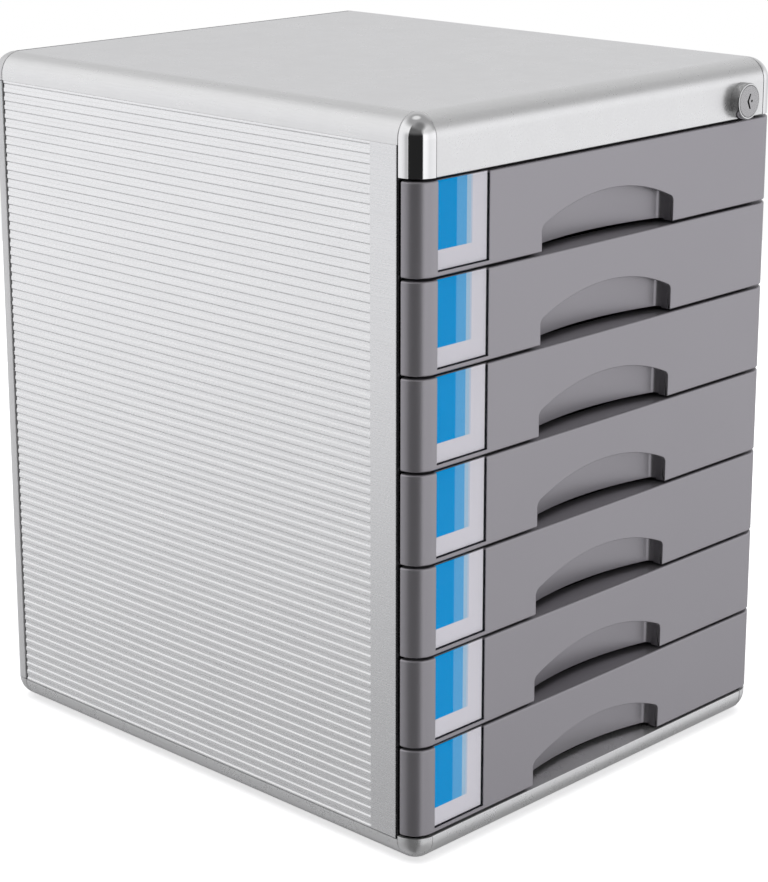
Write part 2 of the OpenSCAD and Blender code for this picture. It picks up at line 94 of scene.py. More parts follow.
def area2(pts):
    return sum(pts[i - 1][0] * pts[i][1] - pts[i][0] * pts[i - 1][1] for i in range(len(pts))) / 2


def inset(pts, d):
    """The closed outline moved inwards by d along its corner normals."""
    s = 1 if area2(pts) > 0 else -1
    n = len(pts)
    out = []
    for i in range(n):
        a, p, b = pts[i - 1], pts[i], pts[(i + 1) % n]
        e1 = Vector((p[0] - a[0], p[1] - a[1]))
        e2 = Vector((b[0] - p[0], b[1] - p[1]))
        e1.normalize(), e2.normalize()
        n1, n2 = Vector((-e1.y, e1.x)) * s, Vector((-e2.y, e2.x)) * s
        m = n1 + n2
        if m.length < 1e-6:
            m = n1
        m.normalize()
        k = d / max(0.35, m.dot(n1))
        out.append((p[0] + m.x * k, p[1] + m.y * k))
    return out


class Solid:
    """Collects faces by their corner points in millimetres and joins equal corners."""

    def __init__(self):
        self.v, self.f, self.key, self.m = [], [], {}, []

    def pt(self, p):
        k = (round(p[0], 4), round(p[1], 4), round(p[2], 4))
        if k not in self.key:
            self.key[k] = len(self.v)
            self.v.append(k)
        return self.key[k]

    def face(self, pts, mat=0):
        ids = []
        for p in pts:
            i = self.pt(p)
            if not ids or ids[-1] != i:
                ids.append(i)
        if len(ids) > 1 and ids[0] == ids[-1]:
            ids.pop()
        if len(ids) >= 3 and len(set(ids)) == len(ids):
            self.f.append(ids)
            self.m.append(mat)

    def strip(self, a, b, closed=False, mat=0):
        n = len(a)
        for i in range(n if closed else n - 1):
            j = (i + 1) % n
            self.face([a[i], a[j], b[j], b[i]], mat)

    def loft(self, rings, closed=True, caps=True, mat=0):
        for a, b in zip(rings, rings[1:]):
            self.strip(a, b, closed, mat)
        if caps:
            self.face(rings[0][::-1], mat)
            self.face(rings[-1], mat)

    def mesh(self, name, recalc=True):
        me = bpy.data.meshes.new(name)
        me.from_pydata([(x * 0.001, (YF + d) * 0.001, z * 0.001) for x, d, z in self.v], [], self.f)
        me.polygons.foreach_set("material_index", self.m)
        if recalc:
            bm = bmesh.new()
            bm.from_mesh(me)
            bmesh.ops.recalc_face_normals(bm, faces=bm.faces)
            bm.to_mesh(me)
            bm.free()
        me.update()
        return me


def piece(name, me, body, mats, replaces=(), smooth=35, weighted=True):
    ob = bpy.data.objects.new(name, me)
    bpy.context.scene.collection.objects.link(ob)
    for m in mats:
        me.materials.append(m)
    me.shade_smooth()
    if smooth:
        me.set_sharp_from_angle(angle=rad(smooth))
    if weighted:
        w = ob.modifiers.new("weighted", "WEIGHTED_NORMAL")
        w.keep_sharp = True
        w.weight = 60
    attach(ob, body)
    if replaces:
        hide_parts(*replaces)
    return ob


def solidify(ob, t, offset=-1.0):
    s = ob.modifiers.new("thick", "SOLIDIFY")
    s.thickness, s.offset, s.use_even_offset = t * 0.001, offset, True


def bevel(ob, w, seg=2, angle=32, clamp=True):
    b = ob.modifiers.new("edges", "BEVEL")
    b.width, b.segments, b.limit_method, b.angle_limit = w * 0.001, seg, "ANGLE", rad(angle)
    b.use_clamp_overlap = clamp
    b.miter_outer = "MITER_ARC"


def bake_mods(ob):
    """Applies the object's modifiers to its own mesh."""
    dg = bpy.context.evaluated_depsgraph_get()
    dg.update()
    me = bpy.data.meshes.new_from_object(ob.evaluated_get(dg))
    ob.modifiers.clear()
    ob.data = me
    return me


def extrude(profile, a, b, where, ends=0.3, seg=2):
    """Closed (u, v) outline run from a to b, its end edges rounded; where(u, v, w) gives the point."""
    s = Solid()
    rings = []
    for k in range(seg + 1):
        t = rad(90 * k / seg)
        pr = inset(profile, ends * (1 - math.sin(t))) if k < seg else profile
        rings.append([where(u, v, a + ends * (1 - math.cos(t))) for u, v in pr])
    for k in range(seg, -1, -1):
        t = rad(90 * k / seg)
        pr = inset(profile, ends * (1 - math.sin(t))) if k < seg else profile
        rings.append([where(u, v, b - ends * (1 - math.cos(t))) for u, v in pr])
    s.loft(rings)
    return s


def xdz(u, v, w):
    return (w, u, v)


def xzd(u, v, w):
    return (u, w, v)


def mirrored(s):
    t = Solid()
    t.v = [(-x, d, z) for x, d, z in s.v]
    t.f = [list(reversed(f)) for f in s.f]
    t.m = list(s.m)
    return t


# ------------------------------------------------------------------ materials
def material(name):
    m = bpy.data.materials.new(name)
    m.use_nodes = True
    nt = m.node_tree
    nt.nodes.clear()
    out = nt.nodes.new("ShaderNodeOutputMaterial")
    bs = nt.nodes.new("ShaderNodeBsdfPrincipled")
    nt.links.new(bs.outputs[0], out.inputs[0])
    return m, nt, bs


class N:
    """Short names for node building."""

    def __init__(self, nt):
        self.nt = nt
        self.co = None

    def node(self, kind, **kw):
        n = self.nt.nodes.new(kind)
        for k, v in kw.items():
            setattr(n, k, v)
        return n

    def link(self, a, b):
        self.nt.links.new(a, b)

    def obj(self):
        if self.co is None:
            self.co = self.node("ShaderNodeTexCoord").outputs["Object"]
        return self.co

    def scaled(self, x, y, z):
        m = self.node("ShaderNodeMapping")
        m.inputs["Scale"].default_value = (x, y, z)
        self.link(self.obj(), m.inputs["Vector"])
        return m.outputs[0]

    def noise(self, scale, detail=2.0, rough=0.5, vec=None, dist=0.0):
        n = self.node("ShaderNodeTexNoise")
        n.inputs["Scale"].default_value = scale
        n.inputs["Detail"].default_value = detail
        n.inputs["Roughness"].default_value = rough
        n.inputs["Distortion"].default_value = dist
        self.link(vec if vec is not None else self.obj(), n.inputs["Vector"])
        return n.outputs["Fac"]

    def voronoi(self, scale, vec=None, feature="F1"):
        n = self.node("ShaderNodeTexVoronoi", feature=feature)
        n.inputs["Scale"].default_value = scale
        self.link(vec if vec is not None else self.obj(), n.inputs["Vector"])
        return n.outputs["Distance"]

    def remap(self, v, a, b, c, d, smooth=False):
        n = self.node("ShaderNodeMapRange")
        if smooth:
            n.interpolation_type = "SMOOTHSTEP"
        self.link(v, n.inputs["Value"])
        for k, x in zip(("From Min", "From Max", "To Min", "To Max"), (a, b, c, d)):
            n.inputs[k].default_value = x
        return n.outputs[0]

    def math(self, op, a, b=None, clamp=False):
        n = self.node("ShaderNodeMath", operation=op, use_clamp=clamp)
        for i, v in enumerate((a, b)):
            if v is None:
                continue
            if isinstance(v, (int, float)):
                n.inputs[i].default_value = v
            else:
                self.link(v, n.inputs[i])
        return n.outputs[0]

    def mix(self, f, a, b):
        n = self.node("ShaderNodeMix", data_type="RGBA")
        if isinstance(f, (int, float)):
            n.inputs[0].default_value = f
        else:
            self.link(f, n.inputs[0])
        for i, v in ((6, a), (7, b)):
            if isinstance(v, tuple):
                n.inputs[i].default_value = (*v[:3], 1.0)
            else:
                self.link(v, n.inputs[i])
        return n.outputs[2]

    def ramp(self, f, stops, mode="LINEAR"):
        n = self.node("ShaderNodeValToRGB")
        n.color_ramp.interpolation = mode
        e = n.color_ramp.elements
        e[0].position, e[0].color = stops[0][0], (*stops[0][1], 1)
        e[1].position, e[1].color = stops[1][0], (*stops[1][1], 1)
        for p, c in stops[2:]:
            x = e.new(p)
            x.color = (*c, 1)
        self.link(f, n.inputs[0])
        return n.outputs[0]

    def bump(self, h, strength, dist, normal=None):
        n = self.node("ShaderNodeBump")
        n.inputs["Strength"].default_value = strength
        n.inputs["Distance"].default_value = dist
        self.link(h, n.inputs["Height"])
        if normal is not None:
            self.link(normal, n.inputs["Normal"])
        return n.outputs[0]


def grey(v, w=0.0):
    return (v, v * (1 - 0.01 * w), v * (1 + 0.012 * w))


def metal(name, base, rough, metallic=1.0, streak=(1, 1, 1), streak_scale=900, streak_amt=0.05, smudge=0.04, bump=0.02, coat=0.0, tint=(1, 1, 1)):
    """A metal finish: fine streaks along one direction, slow smudges, a little bump."""
    m, nt, bs = material(name)
    n = N(nt)
    fine = n.noise(streak_scale, 3, 0.6, n.scaled(*streak))
    slow = n.noise(9, 3, 0.55)
    mid = n.noise(70, 4, 0.6)
    c0 = tuple(base * t for t in tint)
    lo = tuple(x * (1 - streak_amt) for x in c0)
    hi = tuple(min(1, x * (1 + streak_amt)) for x in c0)
    col = n.mix(n.remap(fine, 0.3, 0.7, 0, 1), lo, hi)
    dark = tuple(x * (1 - smudge) for x in c0)
    col = n.mix(n.remap(slow, 0.45, 0.75, 0, 0.5, True), col, dark)
    n.link(col, bs.inputs["Base Color"])
    bs.inputs["Metallic"].default_value = metallic
    r = n.math("ADD", n.remap(fine, 0.3, 0.7, rough * 0.9, rough * 1.1), n.remap(mid, 0.4, 0.7, -0.02, 0.03))
    n.link(r, bs.inputs["Roughness"])
    if bump:
        b = n.bump(fine, bump, 0.0002)
        n.link(b, bs.inputs["Normal"])
    if coat:
        bs.inputs["Coat Weight"].default_value = coat
        bs.inputs["Coat Roughness"].default_value = 0.12
    return m


def plastic(name, col, rough, grain=0.03, grain_scale=2200, spec=0.5, var=0.03):
    """Moulded plastic or lacquer: orange-peel grain, slow tone changes."""
    m, nt, bs = material(name)
    n = N(nt)
    g = n.noise(grain_scale, 2, 0.5)
    slow = n.noise(14, 3, 0.5)
    speck = n.noise(420, 3, 0.6)
    lo = tuple(x * (1 - var) for x in col)
    hi = tuple(x * (1 + var) for x in col)
    c = n.mix(n.remap(slow, 0.35, 0.65, 0, 1), lo, hi)
    c = n.mix(n.remap(speck, 0.55, 0.8, 0, 0.35), c, lo)
    n.link(c, bs.inputs["Base Color"])
    n.link(n.math("ADD", n.remap(g, 0.3, 0.7, rough * 0.93, rough * 1.07), n.remap(slow, 0.3, 0.7, -0.02, 0.02)), bs.inputs["Roughness"])
    bs.inputs["Specular IOR Level"].default_value = spec
    if grain:
        n.link(n.bump(g, grain, 0.0002), bs.inputs["Normal"])
    return m


M_TOP = metal("cover_aluminium", 0.775, 0.31, 0.86, (1.0, 0.06, 1.0), 900, 0.03, 0.015, 0.05)
M_CHROME = metal("chrome", 0.86, 0.07, 1.0, (1, 1, 1), 300, 0.01, 0.02, 0.004)
M_SATIN = metal("satin_silver", 0.60, 0.36, 0.7, (1, 1, 1), 1800, 0.04, 0.03, 0.03)
M_PLINTH = metal("plinth_silver", 0.78, 0.30, 0.85, (1, 1, 1), 1800, 0.04, 0.03, 0.03)
M_TRAY = plastic("tray_plastic", (0.085, 0.085, 0.09), 0.5, 0.15, 1500, 0.5, 0.06)
M_DARK = plastic("dark_powder", (0.028, 0.028, 0.031), 0.5, 0.25, 1700, 0.45, 0.10)
M_NYLON = plastic("runner_nylon", (0.022, 0.022, 0.024), 0.45, 0.1, 1600, 0.5, 0.08)
M_RUBBER = plastic("black_rubber", (0.018, 0.018, 0.018), 0.75, 0.3, 1400, 0.35, 0.10)
M_ZINC = metal("zinc_steel", 0.52, 0.33, 1.0, (1, 1, 1), 500, 0.09, 0.08, 0.05, tint=(1, 1, 1.02))
M_LOCK = metal("lock_chrome", 0.68, 0.08, 1.0, (1, 1, 1), 900, 0.02, 0.03, 0.01)


def ribbed():
    """Anodised aluminium: streaks along the grooves, a slightly darker smooth margin, painted shade (near black) on the
    rounded front edge by the gap to the cap.
    """
    m, nt, bs = material("ribbed_aluminium")
    n = N(nt)
    fine = n.noise(1300, 3, 0.6, n.scaled(1.0, 0.035, 1.0))
    coarse = n.noise(420, 2, 0.5, n.scaled(1.0, 0.05, 1.0))
    sep = n.node("ShaderNodeSeparateXYZ")
    n.link(n.obj(), sep.inputs[0])
    streak = n.math("ADD", n.remap(fine, 0.33, 0.67, 0.0, 0.6), n.remap(coarse, 0.35, 0.65, 0.0, 0.4))
    col = n.mix(streak, (0.82, 0.82, 0.825), (0.89, 0.89, 0.893))
    rim = n.remap(sep.outputs["Y"], (YF + 33.9) * 0.001, (YF + 34.2) * 0.001, 1.0, 0.0)
    col = n.mix(rim, col, (0.765, 0.765, 0.771))
    # painted shade: the panel's rounded front edge is coloured near black to darken the gap between panel and front cap
    edge = n.remap(sep.outputs["Y"], (YF + 15.0) * 0.001, (YF + 15.5) * 0.001, 1.0, 0.0)
    col = n.mix(edge, col, (0.05, 0.05, 0.052))
    n.link(col, bs.inputs["Base Color"])
    bs.inputs["Metallic"].default_value = 0.9
    n.link(n.remap(fine, 0.3, 0.7, 0.235, 0.30), bs.inputs["Roughness"])
    n.link(n.bump(n.math("MULTIPLY", fine, n.remap(rim, 0.0, 1.0, 1.0, 0.12)), 0.035, 0.0002), bs.inputs["Normal"])
    return m


def nickel():
    """Lock face: turned marks round its middle, painted shade (near black) inside the keyway and the dimple."""
    m, nt, bs = material("lock_nickel")
    n = N(nt)
    sep = n.node("ShaderNodeSeparateXYZ")
    n.link(n.obj(), sep.inputs[0])
    x = n.math("SUBTRACT", sep.outputs["X"], LX * 0.001)
    z = n.math("SUBTRACT", sep.outputs["Z"], LZ * 0.001)
    rr = n.math("SQRT", n.math("ADD", n.math("MULTIPLY", x, x), n.math("MULTIPLY", z, z)))
    rings = n.math("SINE", n.math("MULTIPLY", rr, 26000.0))
    fine = n.noise(1600, 3, 0.6)
    col = n.mix(n.remap(fine, 0.3, 0.7, 0, 1), (0.39, 0.385, 0.39), (0.46, 0.455, 0.46))
    # painted shade: the keyway and dimple below the face are coloured near black where they lie in shadow
    deep = n.math("MULTIPLY", n.math("GREATER_THAN", sep.outputs["Y"], (YF - PROUD + 0.35) * 0.001), n.math("LESS_THAN", rr, 0.0048))
    n.link(n.mix(deep, col, (0.012, 0.012, 0.013)), bs.inputs["Base Color"])
    bs.inputs["Metallic"].default_value = 0.95
    n.link(n.math("ADD", n.remap(fine, 0.3, 0.7, 0.24, 0.30), n.remap(rings, -1, 1, -0.02, 0.02)), bs.inputs["Roughness"])
    n.link(n.bump(rings, 0.03, 0.0001), bs.inputs["Normal"])
    return m


def lacquer():
    """Metallic grey lacquer: flake sparkle, painted shade (near black) in the label recess."""
    m, nt, bs = material("drawer_lacquer")
    n = N(nt)
    flake = n.voronoi(2600)
    slow = n.noise(11, 2, 0.5)
    grain = n.noise(1500, 2, 0.5)
    col = n.mix(n.remap(slow, 0.35, 0.65, 0, 1), (0.338, 0.325, 0.348), (0.346, 0.333, 0.356))
    col = n.mix(n.remap(flake, 0.0, 0.5, 0.10, 0.0), col, (0.46, 0.445, 0.47))
    sep = n.node("ShaderNodeSeparateXYZ")
    n.link(n.obj(), sep.inputs[0])
    zz = n.math("MODULO", n.math("SUBTRACT", sep.outputs["Z"], BAYZ[6] * 0.001), BAY * 0.001)
    # painted shade: the label recess's walls and floor are coloured near black where they lie in shadow
    painted_recess_shade = n.math("MULTIPLY", n.math("GREATER_THAN", sep.outputs["X"], (LABX0 + 0.15) * 0.001), n.math("LESS_THAN", sep.outputs["X"], (LABX1 + 0.02) * 0.001))
    painted_recess_shade = n.math("MULTIPLY", painted_recess_shade, n.math("GREATER_THAN", sep.outputs["Y"], (YF + 0.45) * 0.001))
    painted_recess_shade = n.math("MULTIPLY", painted_recess_shade, n.math("LESS_THAN", sep.outputs["Y"], (YF + SKIN - 0.3) * 0.001))
    painted_recess_shade = n.math("MULTIPLY", painted_recess_shade, n.math("GREATER_THAN", zz, (LIP - 0.02) * 0.001))
    painted_recess_shade = n.math("MULTIPLY", painted_recess_shade, n.math("LESS_THAN", zz, (HF - 1.2) * 0.001))
    col = n.mix(painted_recess_shade, col, (0.03, 0.026, 0.034))
    n.link(col, bs.inputs["Base Color"])
    bs.inputs["Metallic"].default_value = 0.8
    n.link(n.math("ADD", n.remap(grain, 0.3, 0.7, 0.32, 0.36), n.remap(slow, 0.3, 0.7, -0.01, 0.01)), bs.inputs["Roughness"])
    n.link(n.bump(grain, 0.02, 0.0002), bs.inputs["Normal"])
    return m


def label_card():
    """White card with three blue bands that run down from its top edge."""
    m, nt, bs = material("label_card")
    n = N(nt)
    sep = n.node("ShaderNodeSeparateXYZ")
    n.link(n.obj(), sep.inputs[0])
    u = n.remap(sep.outputs["X"], (LABX0 + 0.3) * 0.001, (LABX1 - 0.3) * 0.001, 0, 1)
    # height above the drawer's lower edge repeats every bay
    z = n.math("SUBTRACT", sep.outputs["Z"], BAYZ[6] * 0.001)
    zz = n.math("MODULO", z, BAY * 0.001)
    deep, mid, pale, white = (0.0, 0.278, 0.643), (0.10, 0.37, 0.673), (0.355, 0.515, 0.665), (0.637, 0.617, 0.662)
    lilac = (0.46, 0.53, 0.65)
    bands = n.ramp(u, [(0.0, deep), (0.385, mid), (0.58, pale), (0.66, lilac), (0.69, white)], "CONSTANT")
    fib = n.noise(1800, 3, 0.6)
    below = n.math("LESS_THAN", zz, 0.0135)
    c = n.mix(below, bands, white)
    tone = n.mix(n.remap(fib, 0.3, 0.7, 0, 0.03), c, (0.0, 0.1, 0.2))
    n.link(tone, bs.inputs["Base Color"])
    n.link(n.remap(fib, 0.3, 0.7, 0.42, 0.55), bs.inputs["Roughness"])
    bs.inputs["Specular IOR Level"].default_value = 0.02
    n.link(n.bump(fib, 0.05, 0.0001), bs.inputs["Normal"])
    return m


def window():
    m, nt, bs = material("clear_window")
    n = N(nt)
    slow = n.noise(60, 2, 0.5)
    n.link(n.mix(n.remap(slow, 0.3, 0.7, 0, 1), (0.10, 0.13, 0.15), (0.13, 0.16, 0.18)), bs.inputs["Base Color"])
    bs.inputs["Alpha"].default_value = 0.035
    n.link(n.remap(n.noise(900, 2, 0.5), 0.3, 0.7, 0.04, 0.09), bs.inputs["Roughness"])
    return m


M_RIB = ribbed()
M_PLUG = nickel()
M_FRONT = lacquer()
M_CARD = label_card()
M_WINDOW = window()

CAD_LOOK = {
    "rear_panel": M_DARK, "case_screws": M_ZINC, "base_tray": M_DARK, "feet": M_RUBBER,
    "side_frame_left": M_DARK, "side_frame_right": M_DARK, "runners_left": M_NYLON, "runners_right": M_NYLON,
    "lock_nut": M_ZINC, "lock_cam": M_ZINC, "lock_cam_screw": M_ZINC, "lock_bar": M_ZINC, "lock_fingers": M_ZINC,
}
for i in range(1, 8):
    CAD_LOOK[f"drawer_{i}_tray"] = M_TRAY
for name, m in CAD_LOOK.items():
    me = NODES[name].data
    me.materials.clear()
    me.materials.append(m)

# ------------------------------------------------------------------ top cover
SEGS = 20


def top_cover():
    s = Solid()
    side = [(-HW, ZSK), (-HW, ZROLL)] + arc(-HW + R, ZROLL, R, 180, 90, SEGS)[1:-1]
    right = [(-x, z) for x, z in side][::-1]
    xl = -HW + R + SEAM
    cuts = [xl, LX - 9, LX + 9, -xl]
    across = side + [(x, ZTOP) for x in cuts] + right
    d0, d1 = 14.4, DEEP - 14.1 - SEAM
    rows = [[(x, d, z) for x, z in across] for d in (d0, 120.0, 230.0, d1)]
    for a, b in zip(rows, rows[1:]):
        s.strip(a, b)
    # rear strip up to the rear panel's rolled edge
    s.strip([(x, d1, ZTOP) for x in cuts], [(x, DEEP - R - SEAM, ZTOP) for x in cuts])
    # rolled front, band and return flange
    roll = [(d0, ZTOP)] + arc(R, ZROLL, R, 90, 180, SEGS)
    za, zb = LZ - 8.4, LZ + 8.4
    for (da, a), (db, b) in zip(roll, roll[1:]):
        s.strip([(x, da, a) for x in cuts], [(x, db, b) for x in cuts])
    for a, b in ((ZROLL, zb), (za, ZBAND + 0.75)):
        s.strip([(x, 0, a) for x in cuts], [(x, 0, b) for x in cuts])
    for a, b in ((cuts[0], cuts[1]), (cuts[2], cuts[3])):
        s.face([(a, 0, zb), (b, 0, zb), (b, 0, za), (a, 0, za)])
    ring = arc(LX, LZ, 7.1, 45, 405, 40)[:-1]
    corner = [(cuts[2], zb), (cuts[1], zb), (cuts[1], za), (cuts[2], za)]
    for q in range(4):
        a, b = corner[q], corner[(q + 1) % 4]
        part = [ring[(q * 10 + k) % 40] for k in range(11)]
        s.face([(a[0], 0, a[1])] + [(x, 0, z) for x, z in part] + [(b[0], 0, b[1])])
    s.strip([(x, 0, ZBAND + 0.75) for x in cuts], [(x, 10, ZBAND + 0.75) for x in cuts])
    me = s.mesh("cover_skin", recalc=False)
    bm = bmesh.new()
    bm.from_mesh(me)
    bmesh.ops.recalc_face_normals(bm, faces=bm.faces)
    bm.faces.ensure_lookup_table()
    top = max(bm.faces, key=lambda f: f.calc_center_median().z * 10 + f.calc_area())
    if top.normal.z < 0:
        bmesh.ops.reverse_faces(bm, faces=bm.faces)
    bm.to_mesh(me)
    bm.free()
    ob = piece("cover_skin", me, "case", [M_TOP], ["top_cover"], smooth=None, weighted=False)
    solidify(ob, 1.5)
    me = bake_mods(ob)
    bm = bmesh.new()
    bm.from_mesh(me)
    wt = bm.edges.layers.float.new("bevel_weight_edge")
    for e in bm.edges:
        if e.is_manifold and e.calc_face_angle(0) > rad(35):
            low = max(v.co.z for v in e.verts) < (ZSK + 0.1) * 0.001 and min(abs(v.co.x) for v in e.verts) > (HW - 2) * 0.001
            e[wt] = 0.2 if low else 1.0
    bm.to_mesh(me)
    bm.free()
    b = ob.modifiers.new("edges", "BEVEL")
    b.width, b.segments, b.limit_method, b.use_clamp_overlap = 0.00045, 3, "WEIGHT", True
    me = bake_mods(ob)
    for v in me.vertices:
        v.co.x = max(-HW * 0.001, min(HW * 0.001, v.co.x))
        v.co.y = max(YF * 0.001, v.co.y)
        v.co.z = min(ZTOP * 0.001, v.co.z)
    w = ob.modifiers.new("weighted", "WEIGHTED_NORMAL")
    w.weight = 60
    return ob


top_cover()


# ------------------------------------------------------------------ side panels
GROOVES = 73
GHALF = [(0.86, 0.52), (0.94, 0.508), (1.02, 0.47), (1.10, 0.41), (1.38, 0.13), (1.46, 0.06), (1.55, 0.014), (1.64, 0.0)]
GSHAPE = [(-a, g) for a, g in GHALF[::-1]] + GHALF


def side_panel():
    z0, z1 = ZRAIL + SEAM, ZSK - SEAM
    pitch = (z1 - z0) / GROOVES
    zs = []
    up = 0.27
    for i in range(GROOVES):
        zc = z0 + (i + 0.5) * pitch
        zs += [(zc + a, g) for a, g in GSHAPE]

    def outer(depth, x, drop=0.0, e=0.1):
        pts = [(x + e, z0 + drop), (x + e * 0.3, z0 + drop + e * 0.3), (x, z0 + drop + e)]
        pts += [(x + g * depth, z) for z, g in zs]
        top = z1 + up - drop
        pts += [(x, top - e), (x + e * 0.3, top - e * 0.3), (x + e, top)]
        return pts + [(-HW + 3.0, top), (-HW + 3.0, z0 + drop)]

    st = []
    for k in range(7):
        t = rad(90 * k / 6)
        st.append((14.4 + 1.5 * (1 - math.cos(t)), 0.0, -HW + 1.5 * (1 - math.sin(t)), 0.0))
    st += [(22.0, 0.0, -HW, 0.0), (33.7, 0.0, -HW, 0.0), (33.9, 0.12, -HW, 0.0), (34.1, 0.5, -HW, 0.0), (34.3, 0.88, -HW, 0.0), (34.5, 1.0, -HW, 0.0)]
    st += [(d, 1.0, -HW, 0.0) for d in (100.0, 180.0, 260.0, 334.1)]
    st += [(334.45, 1.0, -HW + 0.12, 0.05), (334.6, 1.0, -HW + 0.45, 0.2)]
    s = Solid()
    s.loft([[(x, d, z) for x, z in outer(g, xo, dr)] for d, g, xo, dr in st])
    return s


SIDE = side_panel()
piece("ribbed_side_left", SIDE.mesh("ribbed_side_left"), "case", [M_RIB], ["side_panel_left"], smooth=None)
piece("ribbed_side_right", mirrored(SIDE).mesh("ribbed_side_right"), "case", [M_RIB], ["side_panel_right"], smooth=None)


# ------------------------------------------------------------------ corner caps
def cap_solid(hs, past, n=24):
    """Left front cap, its dome's centre at height 0; wall hs high below it."""
    prof = [(R * math.sin(rad(90 * k / n)), R * math.cos(rad(90 * k / n))) for k in range(n + 1)]
    ri = R - 2.0
    inner = [(ri * math.sin(rad(90 * k / n)), ri * math.cos(rad(90 * k / n))) for k in range(n + 1)]
    ring = prof + ([(R, -hs), (ri, -hs)] if hs > 0.05 else []) + inner[::-1]

    def at(u, h, phi):
        return (-HW + R - u * math.cos(rad(phi)), R - u * math.sin(rad(phi)), h)

    s = Solid()
    rings = [[(-HW + R - u, past, h) for u, h in ring]]
    rings += [[at(u, h, 90 * k / n) for u, h in ring] for k in range(n + 1)]
    s.loft(rings)
    return s


def place(s, f):
    t = Solid()
    t.v = [f(p) for p in s.v]
    t.f = [list(f_) for f_ in s.f]
    t.m = list(s.m)
    return t


def cap(name, s, mat, node, right):
    if right:
        s = mirrored(s)
    ob = piece(name, s.mesh(name), "case", [mat], [node], smooth=None, weighted=False)
    bevel(ob, 0.4, 3, 40)
    w = ob.modifiers.new("weighted", "WEIGHTED_NORMAL")
    w.weight = 60
    return ob


def flip(z):
    return lambda p: (p[0], p[1], z - p[2])


def rear(z, up=True):
    return lambda p: (p[0], DEEP - p[1], z + p[2] if up else z - p[2])


FRONT_CAP = place(cap_solid(ZROLL - ZBAND - 0.75, 14.1), lambda p: (p[0], p[1], ZROLL + p[2]))
REAR_CAP = place(cap_solid(ZROLL - ZSK, 14.1), rear(ZROLL))
BASE_CAP = place(cap_solid(PL - 0.8 - ZRAIL, 13.8), flip(ZRAIL))
BASE_REAR = place(cap_solid(0.0, 14.1), rear(ZRAIL, False))
for side, right in (("left", False), ("right", True)):
    cap(f"chrome_cap_{side}", FRONT_CAP, M_CHROME, f"front_cap_{side}", right)
    cap(f"rear_cap_{side}", REAR_CAP, M_SATIN, f"rear_top_cap_{side}", right)
    cap(f"plinth_corner_{side}", BASE_CAP, M_PLINTH, f"base_corner_{side}", right)
    cap(f"plinth_rear_corner_{side}", BASE_REAR, M_PLINTH, f"rear_base_cap_{side}", right)

# ------------------------------------------------------------------ plinth rails and rear posts
XR = HW - R - SEAM
front_rail = [(0, PL - 0.8, 0.5), (0, ZRAIL)] + arc(R, ZRAIL, R, 180, 270, SEGS)[1:] + [(R + 9, ZBASE), (R + 9, ZBASE + 2)] + arc(R, ZRAIL, R - 2, 270, 180, SEGS) + [(2, PL - 2.4), (19, PL - 2.4), (19, PL - 0.8)]
piece("plinth_front", extrude(rounded(front_rail), -XR, XR, xdz, 0.35).mesh("plinth_front"), "case", [M_PLINTH], ["base_front_rail"], smooth=40)
side_rail = [(-HW, ZRAIL)] + [(x, z) for x, z in arc(-HW + R, ZRAIL, R, 180, 270, SEGS)[1:]] + [(-HW + R + 9, ZBASE), (-HW + R + 9, ZBASE + 2)] + arc(-HW + R, ZRAIL, R - 2, 270, 180, SEGS)
SR = extrude(side_rail, 14.1, DEEP - 14.1 - SEAM, xzd, 0.35)
piece("plinth_side_left", SR.mesh("plinth_side_left"), "case", [M_PLINTH], ["base_side_rail_left"], smooth=40)
piece("plinth_side_right", mirrored(SR).mesh("plinth_side_right"), "case", [M_PLINTH], ["base_side_rail_right"], smooth=40)
rear_rail = [(DEEP, ZRAIL)] + arc(DEEP - R, ZRAIL, R, 0, -90, SEGS)[1:] + [(DEEP - R - 9, ZBASE), (DEEP - R - 9, ZBASE + 2)] + arc(DEEP - R, ZRAIL, R - 2, -90, -10, SEGS) + [(DEEP - 14, ZRAIL - 1.6), (DEEP - 14, ZRAIL)]
piece("plinth_rear", extrude(rear_rail, -XR, XR, xdz, 0.3).mesh("plinth_rear"), "case", [M_PLINTH], ["base_rear_rail"], smooth=40)

c0, c1 = -HW + R, DEEP - R
post = [(-HW, c1 - 1.3, 0.4), (-HW, c1)] + arc(c0, c1, R, 180, 90, SEGS)[1:] + [(c0, DEEP - 1.5), (-HW + 25.8, DEEP - 1.5), (-HW + 25.8, DEEP - 3.5), (c0 - 2, DEEP - 3.5)]
post += arc(c0, c1, R - 2, 100.7, 180, SEGS) + [(-HW + 6.5, c1), (-HW + 6.5, DEEP - 30), (-HW + 4.5, DEEP - 30), (-HW + 4.5, c1 - 1.3)]
PS = extrude(rounded(post), ZRAIL + SEAM, ZSK - SEAM, lambda u, v, w: (u, v, w), 0.2)
piece("rear_corner_left", PS.mesh("rear_corner_left"), "case", [M_SATIN], ["rear_post_left"], smooth=40)
piece("rear_corner_right", mirrored(PS).mesh("rear_corner_right"), "case", [M_SATIN], ["rear_post_right"], smooth=40)


# ------------------------------------------------------------------ drawer fronts
def temp(s, name):
    ob = bpy.data.objects.new(name, s.mesh(name))
    bpy.context.scene.collection.objects.link(ob)
    return ob


def cut(ob, other, op):
    b = ob.modifiers.new("b", "BOOLEAN")
    b.object, b.operation, b.solver = other, op, "EXACT"
    bake_mods(ob)
    bpy.data.objects.remove(other)


def block(x0, x1, d0, d1, z0, z1):
    s = Solid()
    s.loft([[(x0, d0, z), (x1, d0, z), (x1, d1, z), (x0, d1, z)] for z in (z0, z1)])
    return s


def plan_solid(plan, z0, z1):
    s = Solid()
    s.loft([[(x, d, z) for x, d in plan] for z in (z0, z1)])
    return s


def front_plan(g, back):
    """Half-wrapped plan of the front, shrunk by g, closed at depth back."""
    r = ENDR - g
    left = arc(-HW + ENDR, ENDR, r, 180, 270, 16)
    right = arc(HW - ENDR, ENDR, r, 270, 360, 16)
    return [(-HW + g, back)] * (back > ENDR) + left + right + [(HW - g, back)] * (back > ENDR)


